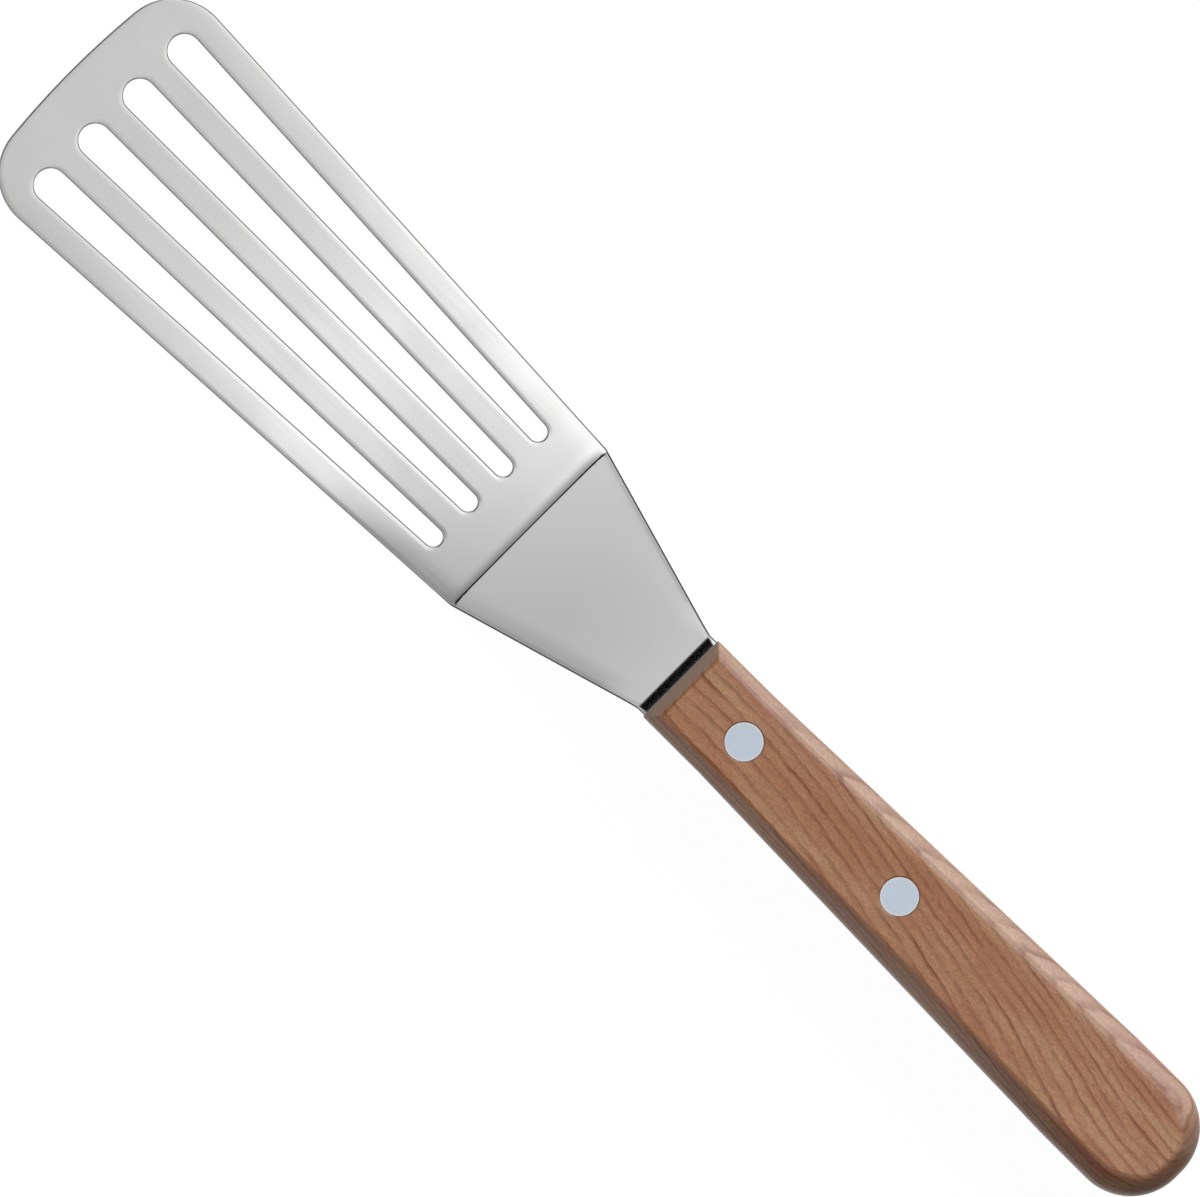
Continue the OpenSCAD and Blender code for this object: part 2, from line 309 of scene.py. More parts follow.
# Holes in the tang for the two rivets.
front_rivet_x = front_x - 16.9
rear_rivet_x = front_x - 58.2
rivet_xs = (front_rivet_x, rear_rivet_x)
rivet_hole_r = 2.55


def round_loop(centre, radius, steps=48):
    return arc_points(centre, radius, math.pi, -math.pi, steps)[:-1]


sheet_loops = [outline] + [slot_loop(k) for k in range(slot_count)]
for x in rivet_xs:
    sheet_loops.append(round_loop((tang_from - (tang_bend_x - x), 0), rivet_hole_r))


def outward_normals(loop):
    """Unit direction out of the material at each point, and how much longer the way in is at a corner."""
    found = []
    for before, here, after in zip(loop[-1:] + loop[:-1], loop, loop[1:] + loop[:1]):
        first, second = (here - before).normalized(), (after - here).normalized()
        out = Vector((first.y + second.y, -first.x - second.x)).normalized()
        found.append((out, 1 / out.dot(Vector((first.y, -first.x)))))
    return found


def inside(points, loop):
    """Which of the points lie in the closed loop."""
    a = np.array(loop)
    b = np.roll(a, -1, axis=0)
    px, py = points[:, :1], points[:, 1:]
    crosses = (a[:, 1] > py) != (b[:, 1] > py)
    rise = np.where(b[:, 1] == a[:, 1], 1, b[:, 1] - a[:, 1])
    crossing_x = a[:, 0] + (py - a[:, 1]) * (b[:, 0] - a[:, 0]) / rise
    return (crosses & (px < crossing_x)).sum(axis=1) % 2 == 1


def distance_to(points, loop):
    """Distance from each point to the closed loop."""
    a = np.array(loop)
    run = np.roll(a, -1, axis=0) - a
    rel = points[:, None, :] - a[None]
    share = np.clip((rel * run).sum(2) / (run * run).sum(1), 0, 1)
    return np.linalg.norm(rel - share[..., None] * run, axis=2).min(axis=1)


def fill_face(loops, inner):
    """Triangles between an outer loop, its holes and points inside. They number all these points in turn."""
    places = [p for loop in loops for p in loop] + inner
    rims, start = [], 0
    for loop in loops:
        rims += [(start + k, start + (k + 1) % len(loop)) for k in range(len(loop))]
        start += len(loop)
    epsilon = 1e-6
    made, _, faces, origin, _, _ = delaunay_2d_cdt([Vector(p) for p in places], rims, [], 0, epsilon)
    flat = np.array([[made[k] for k in face] for face in faces], float)
    middles = flat.mean(axis=1)
    keep = inside(middles, loops[0])
    for loop in loops[1:]:
        keep &= ~inside(middles, loop)
    turn = np.cross(flat[:, 1] - flat[:, 0], flat[:, 2] - flat[:, 0])
    triangles = []
    for face, kept, area in zip(faces, keep, turn):
        if kept:
            corners = [origin[k][0] for k in face]
            triangles.append(corners if area > 0 else corners[::-1])
    return triangles


def add_object(name, data):
    """A new object with that mesh, lamp or camera, in the scene."""
    new_object = bpy.data.objects.new(name, data)
    bpy.context.scene.collection.objects.link(new_object)
    return new_object


class Skin:
    """The surface of one piece: points in mm, and faces with the direction that each corner faces."""

    def __init__(self):
        self.points, self.faces, self.facings = [], [], []

    def add_points(self, points):
        self.points += points
        return list(range(len(self.points) - len(points), len(self.points)))

    def add_strip(self, upper, lower, upper_ways, lower_ways, skipped=()):
        """Faces between two closed rows of points. They face right when the rows are walked along."""
        for k in range(len(upper)):
            after = (k + 1) % len(upper)
            if k not in skipped:
                self.faces.append((lower[k], lower[after], upper[after], upper[k]))
                self.facings.append((lower_ways[k], lower_ways[after], upper_ways[after], upper_ways[k]))

    def add_sheet(self, numbers, triangles, facings, downward=False):
        for corners in triangles:
            corners = corners[::-1] if downward else corners
            self.faces.append([numbers[k] for k in corners])
            self.facings.append([facings[k] for k in corners])

    def make_piece(self, name):
        mesh = bpy.data.meshes.new(name)
        mesh.from_pydata([p * MM for p in self.points], [], self.faces)
        mesh.shade_smooth()
        mesh.normals_split_custom_set([tuple(way) for face in self.facings for way in face])
        mesh.update()
        return add_object(name, mesh)


def make_sheet():
    """The bent sheet: down over the edge of each loop, then both faces, with points inside for the bow."""
    points_across = 33
    clear_of_loops = 0.25
    skin = Skin()
    steps = range(shoulder_steps + edge_steps + 1)
    levels = [(k, 1) for k in steps] + [(k, -1) for k in steps[::-1]]
    # Each broad face: the way it faces, the row of each loop that it meets, and its points and facings.
    flat_loops, broad_faces = [], [(1, 0, [], []), (-1, -1, [], [])]
    for loop in sheet_loops:
        ways_out = outward_normals(loop)
        profiles = [edge_profile(shoulder_lean(p.x, out)) for p, (out, stretch) in zip(loop, ways_out)]
        rows, row_facings = [], []
        for step, side_up in levels:
            points, facings = [], []
            for p, (out, stretch), profile in zip(loop, ways_out, profiles):
                inset, depth, lean = profile[step]
                at = p - out * inset * stretch
                point, up, along = sheet_point(at.x, at.y, side_up * (sheet_t / 2 - depth))
                way = (along * out.x + Vector((0, out.y, 0))).normalized()
                points.append(point)
                facings.append((up * side_up * math.cos(lean) + way * math.sin(lean)).normalized())
            rows.append(skin.add_points(points))
            row_facings.append(facings)
        for k in range(len(rows) - 1):
            skin.add_strip(rows[k], rows[k + 1], row_facings[k], row_facings[k + 1])
        flat_loops.append([p - out * shoulder_w * stretch for p, (out, stretch) in zip(loop, ways_out)])
        for side_up, row, numbers, facings in broad_faces:
            numbers += rows[row]
            facings += row_facings[row]
    grid = []
    for s in columns[1:] + spread(corner_start, blade_len, blade_spacing):
        half = sheet_half_width(sheet_middle(s)[0].x)
        grid += [(s, half * share) for share in np.linspace(-1, 1, points_across)]
    grid = np.array(grid)
    keep = inside(grid, flat_loops[0])
    for loop in flat_loops:
        keep &= distance_to(grid, loop) > clear_of_loops
    for loop in flat_loops[1:]:
        keep &= ~inside(grid, loop)
    inner = [Vector(p) for p in grid[keep]]
    triangles = fill_face(flat_loops, inner)
    for side_up, row, numbers, facings in broad_faces:
        found = [sheet_point(p.x, p.y, side_up * sheet_t / 2) for p in inner]
        numbers += skin.add_points([point for point, up, along in found])
        facings += [up * side_up for point, up, along in found]
        skin.add_sheet(numbers, triangles, facings, downward=side_up < 0)
    return skin.make_piece("blade_sheet")


def linear(hex_colour):
    """An sRGB hex value as linear red, green, blue and alpha."""
    parts = [int(hex_colour[k:k + 2], 16) / 255 for k in (1, 3, 5)]
    return [p / 12.92 if p <= 0.04045 else ((p + 0.055) / 1.055) ** 2.4 for p in parts] + [1.0]


def add_node(tree, kind, inputs=(), operation=None, **settings):
    """Adds a node. Its inputs, in order or by name, are values, or the nodes or sockets that feed it."""
    node = tree.nodes.new("ShaderNode" + kind)
    if operation:
        node.operation = operation
    for name, value in settings.items():
        setattr(node, name, value)
    for name, value in inputs.items() if isinstance(inputs, dict) else enumerate(inputs):
        if isinstance(value, bpy.types.Node):
            value = value.outputs[0]
        if isinstance(value, bpy.types.NodeSocket):
            tree.links.new(value, node.inputs[name])
        else:
            node.inputs[name].default_value = value
    return node


def new_material(name):
    """An empty material, and the function that adds nodes to it."""
    material = bpy.data.materials.new(name)
    material.use_nodes = True
    material.node_tree.nodes.clear()
    return material, partial(add_node, material.node_tree)


def place_in_mm(add):
    """The place in the object's own frame, in mm, for patterns of true size."""
    place = add("TexCoord").outputs["Object"]
    return add("VectorMath", {0: place, "Scale": 1 / MM}, "SCALE")


# Settings of a map range that eases in and out, and of a mix of colours.
eased = {"interpolation_type": "SMOOTHSTEP"}
in_colour = {"data_type": "RGBA"}


# Stainless steel, satin from a fine belt: neutral grey, soft reflections, and fine lines along the blade.
# The neck and both bends are smoother, so they mirror the room more sharply.
def satin_steel():
    material, add = new_material("stainless_steel_satin_ground")
    in_mm = place_in_mm(add)
    # Belt lines are some 0.05 mm apart. That is too fine to show, so they are drawn at 0.35 mm.
    line_gap, line_len, stray = 0.35, 30.0, math.radians(2.5)
    crossing = []
    for turn in (stray, -1.6 * stray):
        turned = add("Mapping", {
            "Vector": in_mm, "Rotation": (0, 0, turn), "Scale": (1 / line_len, 1 / line_gap, 1 / line_len),
        })
        crossing.append(add("TexNoise", {"Vector": turned, "Scale": 1.0, "Detail": 3.0, "Roughness": 0.6}))
    lines = add("Math", crossing, "ADD")
    # Slow patches of slightly different polish.
    patch_size = 15.0
    patches = add("TexNoise", {"Vector": in_mm, "Scale": 1 / patch_size, "Detail": 2.0})
    x = add("SeparateXYZ", [in_mm]).outputs["X"]
    on_blade = add("MapRange", [x, heel_x - 0.5, heel_x + 4.0], **eased)
    # The punched edges never met the belt, so they are duller. They are also painted darker: painted shade
    # for the dark room that they mirror.
    facing = add("SeparateXYZ", [add("NewGeometry").outputs["Normal"]]).outputs
    to_side = add("Math", [facing["Y"]], "ABSOLUTE")
    to_end = add("Math", [facing["X"]], "ABSOLUTE")
    to_end = add("Math", [to_end, on_blade], "MULTIPLY")
    out_of_face = add("Math", [to_side, to_end], "MAXIMUM")
    punched_dull_and_shaded = add("MapRange", [out_of_face, 0.2, 0.55], **eased)

    line_colour = add("MapRange", [lines, 0.6, 1.4, -0.5, 0.5])
    line_share = add("MapRange", [on_blade, 0.0, 1.0, 0.2, 1.0])
    tone = add("Math", [line_colour, line_share, 0.5], "MULTIPLY_ADD")
    ground = add("Mix", {0: tone, 6: linear("#CACACA"), 7: linear("#D0D0CF")}, **in_colour).outputs[2]
    # Painted shade: a dark colour on the punched edges, darkest on the neck and bends.
    edge_painted_shade = add("Mix", {0: on_blade, 6: linear("#3E3E3F"), 7: linear("#7E7E7F")}, **in_colour).outputs[2]
    colour = add("Mix", {0: punched_dull_and_shaded, 6: ground, 7: edge_painted_shade}, **in_colour).outputs[2]
    smooth_steel, punched_steel = 0.15, 0.4
    satin = add("Math", [
        add("MapRange", [lines, 0.6, 1.4, 0.2, 0.27]),
        add("MapRange", [patches, 0.3, 0.7, -0.015, 0.015]),
    ], "ADD")
    roughness = add("Mix", {0: on_blade, 2: smooth_steel, 3: satin})
    roughness = add("Mix", {0: punched_dull_and_shaded, 2: roughness, 3: punched_steel})
    bump_share = add("MapRange", [on_blade, 0.0, 1.0, 0.001, 0.03])
    bump = add("Bump", {"Strength": bump_share, "Distance": 0.01 * MM, "Height": lines})
    shader = add("BsdfPrincipled", {
        "Base Color": colour, "Metallic": 1.0, "Roughness": roughness, "Normal": bump,
    })
    add("OutputMaterial", [shader])
    return material


steel = satin_steel()
blade_sheet = make_sheet()
blade_sheet.data.materials.append(steel)
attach(blade_sheet, "root")
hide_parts("blade")

# Handle. One piece of close-grained hardwood with broad chamfers round both faces, sanded and oiled.
# A circular saw has cut a kerf from the front for the tang, and each rivet's heads sit in counterbores.
butt_x = handle_low.x
handle_len = front_x - butt_x
handle_front_w = 20.2
handle_rear_w = handle_high.y - handle_low.y
handle_front_t = 15.0
handle_rear_t = handle_high.z - handle_low.z
face_slope = 1.75 / handle_len
parallel_len = 14.8
belly_from_butt = 23.4
butt_r = 11.9
front_corner_r = 0.35
chamfer_front = 2.15
chamfer_rear = 3.6
butt_chamfer_share = 0.78
butt_chamfer_len = 5.0
chamfer_slope = 1.1
edge_round_share = 0.35
saw_r = 75.0
kerf_end_x = tang_end_x - 2.0
kerf_clear = 0.05
kerf_half = sheet_t / 2 + kerf_clear
rivet_head_r = 3.75
counterbore_r = 3.8
rivet_head_t = 1.8
broken_edge = 0.15
broken_edge_lean = math.radians(35)


def half_thickness(x):
    """Half thickness of the handle at x. It grows towards the butt, up to the handle's full thickness."""
    return min(handle_front_t / 2 + face_slope * (front_x - x), handle_rear_t / 2)


def chamfer_width(x):
    """Width of the chamfer at x. It narrows a little round the very end, where the sander turned."""
    width = chamfer_front + (chamfer_rear - chamfer_front) * (front_x - x) / handle_len
    return width * (1 - (1 - butt_chamfer_share) * smooth(butt_x + butt_chamfer_len, butt_x, x))


def side_y(x):
    """Half width of the handle at x, in front of the butt's corners."""
    share = (front_x - parallel_len - x) / (handle_len - parallel_len - belly_from_butt)
    return handle_front_w / 2 + (handle_rear_w - handle_front_w) / 2 * min(1.0, max(0.0, share))


def chamfer_section(steps=8):
    """The chamfer's section, with both edges sanded round: (share of its width, share of its depth, lean)."""
    e, section = edge_round_share, []
    for a, b, c in (((1 + e, 0), (1, 0), (1 - e, e)), ((e, 1 - e), (0, 1), (0, 1 + e))):
        for k in range(steps + 1):
            t = k / steps
            width, depth = [(1 - t) ** 2 * p + 2 * t * (1 - t) * q + t * t * r for p, q, r in zip(a, b, c)]
            run, drop = [(1 - t) * (q - p) + t * (r - q) for p, q, r in zip(a, b, c)]
            section.append((width, depth, math.atan2(chamfer_slope * drop, -run)))
    return section


def kerf_crossing():
    """Where the saw's arc leaves the side of the handle. Each round comes closer to it."""
    x = kerf_end_x
    for _ in range(20):
        x = kerf_end_x + saw_r - math.sqrt(saw_r ** 2 - side_y(x) ** 2)
    return x


def handle_outline():
    """Outline from the front's middle round by +Y to the butt, as (point, way in across the chamfer)."""
    mitre_clear = 3.2
    across = spread(0, handle_front_w / 2 - mitre_clear, spacing=2)
    half = [(Vector((front_x, y)), Vector((-1, 0))) for y in across]
    corner = Vector((front_x - front_corner_r, handle_front_w / 2 - front_corner_r))
    corner_arc = arc_points(corner, front_corner_r, 0, math.pi / 2, steps=6)
    half += [(p, Vector((-1, -1))) for p in corner_arc]
    stops = [front_x - mitre_clear, front_x - parallel_len, kerf_crossing()]
    stops += [butt_x + belly_from_butt, butt_x + butt_r]
    for start, end in zip(stops, stops[1:]):
        half += [(Vector((x, side_y(x))), Vector((0, -1))) for x in spread(start, end, spacing=2.5)]
    centre = Vector((butt_x + butt_r, handle_rear_w / 2 - butt_r))
    butt_arc = arc_points(centre, butt_r, math.pi / 2, math.pi, steps=30)
    half += [(p, (centre - p).normalized()) for p in butt_arc]
    other = [(Vector((p.x, -p.y)), Vector((way.x, -way.y))) for p, way in half[:0:-1]]
    return half + other


def make_handle():
    """The handle: rings of points down its chamfers and sides, then rivet holes, broad faces and kerf."""
    skin, ring = Skin(), handle_outline()
    walls = [Vector((out.x, out.y, 0)) for out, stretch in outward_normals([p for p, way in ring])]
    face_ways = {side_up: Vector((face_slope, 0, side_up)).normalized() for side_up in (1, -1)}
    up, upright = Vector((0, 0, 1)), math.pi / 2
    crossing = kerf_crossing()
    hole_rows = {}

    def level(width_share, depth_share, lean, side_up):
        points = []
        for p, way in ring:
            c = chamfer_width(p.x)
            x, y = p.x + way.x * c * width_share, p.y + way.y * c * width_share
            height = half_thickness(x) - depth_share * chamfer_slope * c
            points.append(Vector((x, y, axis_z + side_up * height)))
        face = face_ways[side_up]
        return points, [(face * math.cos(lean) + wall * math.sin(lean)).normalized() for wall in walls]

    def kerf_level(side_up):
        return [Vector((p.x, p.y, axis_z + side_up * kerf_half)) for p, way in ring], walls

    def cover(side_up, numbers, rim, step, facing, downward):
        """A flat face inside that rim, with the rivet holes' rows at that step as its own holes."""
        loops = [rim]
        for x in rivet_xs:
            row, _, loop = hole_rows[side_up, x][step]
            numbers = numbers + row
            loops.append(loop)
        skin.add_sheet(numbers, fill_face(loops, []), [facing] * len(numbers), downward)

    section = chamfer_section()
    levels = [level(*share, 1) for share in section] + [kerf_level(1), kerf_level(-1)]
    levels += [level(*share, -1) for share in section[::-1]]
    rows = [skin.add_points(points) for points, facings in levels]
    kerf_row = len(section)
    tolerance = 1e-6
    before_arc = [p.x > crossing - tolerance for p, way in ring]
    open_steps = [k for k in range(len(ring)) if before_arc[k] and before_arc[(k + 1) % len(ring)]]
    for k in range(len(rows) - 1):
        skipped = open_steps if k == kerf_row else ()
        skin.add_strip(rows[k], rows[k + 1], levels[k][1], levels[k + 1][1], skipped)

    # Rivet holes, from the face down to the kerf: broken edge, counterbore, seat and bore.
    for side_up in (1, -1):
        for x in rivet_xs:
            seat = half_thickness(x) - rivet_head_t
            found = []
            # Each step: radius, height over the broad face or else over the kerf's middle, and lean.
            for radius, over_face, over_middle, lean in (
                (counterbore_r + broken_edge, 0, None, broken_edge_lean),
                (counterbore_r, -broken_edge, None, broken_edge_lean),
                (counterbore_r, -broken_edge, None, upright),
                (counterbore_r, None, seat, upright),
                (counterbore_r, None, seat, 0),
                (rivet_hole_r, None, seat, 0),
                (rivet_hole_r, None, seat, upright),
                (rivet_hole_r, None, kerf_half, upright),
            ):
                loop, points = round_loop((x, 0), radius), []
                for p in loop:
                    height = over_middle or half_thickness(p.x) + over_face
                    points.append(Vector((p.x, p.y, axis_z + side_up * height)))
                facings = [
                    up * side_up * math.cos(lean) + Vector((x - p.x, -p.y, 0)).normalized() * math.sin(lean)
                    for p in loop
                ]
                found.append((skin.add_points(points), facings, loop))
            for upper, lower in zip(found[::2], found[1::2]):
                if side_up < 0:
                    upper, lower = lower, upper
                skin.add_strip(upper[0], lower[0], upper[1], lower[1])
            hole_rows[side_up, x] = found

    # The two broad faces, with the counterbores' rims as holes.
    for side_up, row, flat in ((1, rows[0], levels[0]), (-1, rows[-1], levels[-1])):
        cover(side_up, row, [p.xy for p in flat[0]], 0, face_ways[side_up], downward=side_up < 0)

    # The two walls of the kerf, and the end that the round saw left.
    first = next(k for k in range(len(ring)) if before_arc[k] and not before_arc[k - 1])
    last = next(k for k in range(len(ring)) if before_arc[k] and not before_arc[(k + 1) % len(ring)])
    front_part = list(range(first, len(ring))) + list(range(last + 1))
    lean = math.asin(side_y(crossing) / saw_r)
    arc = arc_points((kerf_end_x + saw_r, 0), saw_r, math.pi - lean, math.pi + lean, steps=24)[1:-1]
    ends = {}
    for side_up in (1, -1):
        row = rows[kerf_row] if side_up > 0 else rows[kerf_row + 1]
        end = skin.add_points([Vector((p.x, p.y, axis_z + side_up * kerf_half)) for p in arc])
        numbers = [row[k] for k in front_part] + end
        rim = [ring[k][0] for k in front_part] + arc
        cover(side_up, numbers, rim, -1, up * -side_up, downward=side_up > 0)
        ends[side_up] = [row[last]] + end + [row[first]]
    facings = [Vector((1, 0, 0))] * len(ends[1])
    skin.add_strip(ends[1][::-1], ends[-1][::-1], facings, facings, skipped=[len(facings) - 1])
    return skin.make_piece("handle_wood")


# Close-grained reddish hardwood, rift-sawn, sanded along the grain and oiled: a soft sheen, darker lines of
# late wood along the handle that arch across one chamfer, fine fibres, and darker end grain.
def oiled_wood():
    material, add = new_material("hardwood_sanded_and_oiled")
    in_mm = place_in_mm(add)
    # The pith of the tree lies far outside the handle, on a line about a degree off its length.
    pith_point = (-80.0, 38.3, -35.0)
    pith_way = Vector((1, -0.015, 0.016)).normalized()
    across_way = Vector((0, 0.79, 0.61)).normalized()
    from_pith = add("VectorMath", [in_mm, pith_point], "SUBTRACT")
    along = add("VectorMath", [from_pith, pith_way], "DOT_PRODUCT").outputs["Value"]
    around = add("VectorMath", [from_pith, across_way], "DOT_PRODUCT").outputs["Value"]
    off_pith = add("VectorMath", [from_pith, pith_way], "CROSS_PRODUCT")
    radius = add("VectorMath", [off_pith], "LENGTH").outputs["Value"]
    tree_place = add("CombineXYZ", [along, radius, around])

    def grain(length, width, depth, detail, roughness=0.5):
        """Noise of that size in mm along the grain, across the rings and along them."""
        scaled = add("VectorMath", [tree_place, (1 / length, 1 / width, 1 / depth)], "MULTIPLY")
        return add("TexNoise", {"Vector": scaled, "Scale": 1.0, "Detail": detail, "Roughness": roughness})

    # Rings lie 1.2 mm apart, and closer together towards the bark. They lean across the handle in its middle
    # and wander along the trunk.
    ring_gap = 1.2
    closer_from, closer_by = 75.0, 0.012
    lean = add("MapRange", [along, -62, 45, 5.5, 0.0], **eased)
    slow_wander = add("MapRange", [grain(60, 30, 30, 1), 0.0, 1.0, -1.4, 1.4])
    fast_wander = add("MapRange", [grain(6, 3, 5, 3), 0.0, 1.0, -0.32, 0.32])
    leaning = add("Math", [radius, lean], "ADD")
    wander = add("Math", [slow_wander, fast_wander], "ADD")
    ring_place = add("Math", [leaning, wander], "ADD")
    outer = add("Math", [ring_place, closer_from], "SUBTRACT")
    outer = add("Math", [outer, 0.0], "MAXIMUM")
    outer = add("Math", [outer, outer], "MULTIPLY")
    closer = add("Math", [outer, closer_by], "MULTIPLY")
    even_count = add("Math", [ring_place, ring_gap], "DIVIDE")
    ring_count = add("Math", [even_count, closer], "ADD")
    ring_number = add("Math", [ring_count], "FLOOR")
    ring_share = add("Math", [ring_count], "FRACT")
    ring_draw = add("TexWhiteNoise", {"W": ring_number}, noise_dimensions="1D").outputs["Value"]
    # Late wood darkens slowly through each ring and ends sharply. It differs by ring, and in patches.
    late = add("MapRange", [ring_share, 0.42, 0.86], **eased)
    for fade in (
        add("MapRange", [ring_share, 0.85, 1.0, 1.0, 0.0], **eased),
        add("MapRange", [ring_draw, 0.1, 0.9, 0.6, 1.0]),
        add("MapRange", [grain(9, 1.1, 2.5, 3), 0.32, 0.66, 0.42, 1.0], **eased),
    ):
        late = add("Math", [late, fade], "MULTIPLY")

    tone = add("MapRange", [grain(30, 3.5, 8, 3), 0.3, 0.7], **eased)
    blush = add("MapRange", [grain(9, 2.2, 5, 2), 0.45, 0.75, 0.0, 0.5], **eased)
    # Towards the butt the wood shows silky pale streaks.
    streaks = add("MapRange", [grain(13, 1.7, 5, 3), 0.48, 0.7], **eased)
    towards_butt = add("MapRange", [along, -60, 20, 0.5, 0.1], **eased)
    silk = add("Math", [streaks, towards_butt], "MULTIPLY")
    # A chamfer that cuts the rings flat has fainter lines, and a pale painted sheen is laid on it.
    normal = add("NewGeometry").outputs["Normal"]
    ring_way = across_way.cross(pith_way)
    along_radius = add("VectorMath", [normal, ring_way], "DOT_PRODUCT").outputs["Value"]
    squareness = add("Math", [along_radius], "ABSOLUTE")
    flat_cut = add("MapRange", [squareness, 0.88, 0.97], **eased)
    painted_flat_sheen = add("Math", [flat_cut, 0.45], "MULTIPLY")
    # Behind the rear rivet the lines are fainter and redder.
    in_front = add("MapRange", [along, -50, 0], **eased)
    line_share = add("Math", [
        add("MapRange", [flat_cut, 0.0, 1.0, 1.0, 0.8]),
        add("MapRange", [in_front, 0.0, 1.0, 0.9, 1.0]),
    ], "MULTIPLY")
    line_share = add("Math", [late, line_share], "MULTIPLY")
    red_line, brown_line = linear("#6C2C16"), linear("#6A3414")
    line_colour = add("Mix", {0: in_front, 6: red_line, 7: brown_line}, **in_colour).outputs[2]
    # Fibres are about 0.03 mm wide. That is too fine to show, so they are drawn at 0.22 mm.
    fibres = grain(3.5, 0.22, 0.22, 4, 0.65)
    fibre_light = add("MapRange", [fibres, 0.25, 0.75, 0.84, 1.16])
    # Cut ends of fibres and vessels, as short specks.
    speck_light = add("MapRange", [grain(0.8, 0.22, 0.22, 2, 0.6), 0.25, 0.75, 0.68, 1.32])
    # Rays cut the rings as short thin flecks.
    flecks = add("MapRange", [grain(1.6, 2.5, 0.3, 2, 0.6), 0.6, 0.75, 0.0, 0.22], **eased)
    # Painted shade along the rounded edges of the faces, darkest on the +Y side, away from the lamp.
    facing = add("SeparateXYZ", [normal]).outputs
    upright = add("Math", [facing["Z"]], "ABSOLUTE")
    rounding_painted_shade = add("MapRange", [upright, 0.985, 0.9995, 1.0, 0.0], **eased)
    for limit in (
        add("MapRange", [upright, 0.74, 0.84], **eased),
        add("MapRange", [facing["Y"], -0.3, 0.05, 0.2, 0.42], **eased),
    ):
        rounding_painted_shade = add("Math", [rounding_painted_shade, limit], "MULTIPLY")
    # End grain is darker. The front end is painted paler and greyer, a painted sheen.
    to_end = add("Math", [facing["X"]], "ABSOLUTE")
    end_grain = add("MapRange", [to_end, 0.25, 0.75], **eased)
    pores = add("MapRange", [grain(30, 0.3, 0.3, 3, 0.6), 0.3, 0.7, 0.38, 0.56])
    front_painted_sheen = add("MapRange", [facing["X"], 0.2, 0.5, 0.0, 0.4], **eased)

    def layered(colour, layers):
        """That colour with layers over it, each as how it is laid on, its share and its own colour."""
        for laid_on, share, layer in layers:
            mix = add("Mix", {0: share, 6: colour, 7: layer}, blend_type=laid_on, **in_colour)
            colour = mix.outputs[2]
        return colour

    warm = linear("#956244")
    wood = layered(warm, [
        ("MIX", tone, linear("#A47C5D")),
        ("MIX", blush, linear("#9A6450")),
        ("MIX", silk, linear("#B0886B")),
        # Painted sheen: pale pinkish white on the chamfers that cut the rings flat.
        ("MIX", painted_flat_sheen, linear("#B79E8E")),
        ("MIX", line_share, line_colour),
        ("MULTIPLY", 1.0, fibre_light),
        ("MULTIPLY", 1.0, speck_light),
        ("MIX", flecks, linear("#8A5A42")),
        # Painted shade along the rounded edges.
        ("MIX", rounding_painted_shade, linear("#5A3218")),
    ])
    end_wood = layered(wood, [
        ("MIX", 0.6, warm),
        ("MULTIPLY", 1.0, pores),
        # Painted sheen: the front end paler and greyer.
        ("MIX", front_painted_sheen, linear("#96826E")),
    ])
    wood = layered(wood, [("MIX", end_grain, end_wood)])
    roughness = add("Math", [
        add("MapRange", [fibres, 0.3, 0.7, 0.44, 0.54]),
        add("Math", [end_grain, 0.12], "MULTIPLY"),
    ], "ADD")
    hollow_lines = add("Math", [late, 0.6], "MULTIPLY")
    height = add("Math", [fibres, hollow_lines], "SUBTRACT")
    bump = add("Bump", {"Strength": 0.35, "Distance": 0.03 * MM, "Height": height})
    shader = add("BsdfPrincipled", {
        "Base Color": wood, "Roughness": roughness, "Normal": bump, "IOR": 1.47,
        "Coat Weight": 0.68, "Coat Roughness": 0.3,
    })
    add("OutputMaterial", [shader])
    return material


handle_wood = make_handle()
handle_wood.data.materials.append(oiled_wood())
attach(handle_wood, "root")
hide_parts("handle")

# Rivets. Two compression rivets of aluminium: a stud with a solid shank, let in from above and pressed into
# the tube of a sleeve from below. Both heads were ground flush with the wood and sanded in place.
rivet_sleeve_r = 2.5
rivet_stud_r = 1.7
rivet_end_gap = 0.4
rivet_bevel = 0.1


def turned_piece(name, x, profile):
    """A piece turned round the rivet's axis. The profile's rows: radius, height, radius, height, faces in."""
    skin = Skin()

    def ring(radius, height, inward):
        loop = round_loop((x, 0), radius, steps=64)
        loop = loop if inward else loop[::-1]
        return [Vector((p.x, p.y, height(p.x) if callable(height) else height)) for p in loop]

    for r0, z0, r1, z1, inward in profile:
        upper, lower = ring(r0, z0, inward), ring(r1, z1, inward)
        wider, facings = (upper if r0 > r1 else lower), []
        for k, p in enumerate(wider):
            around = wider[(k + 1) % len(wider)] - wider[k - 1]
            facings.append((lower[k] - upper[k]).cross(around).normalized())
        skin.add_strip(skin.add_points(upper), skin.add_points(lower), facings, facings)
    return skin.make_piece(name)


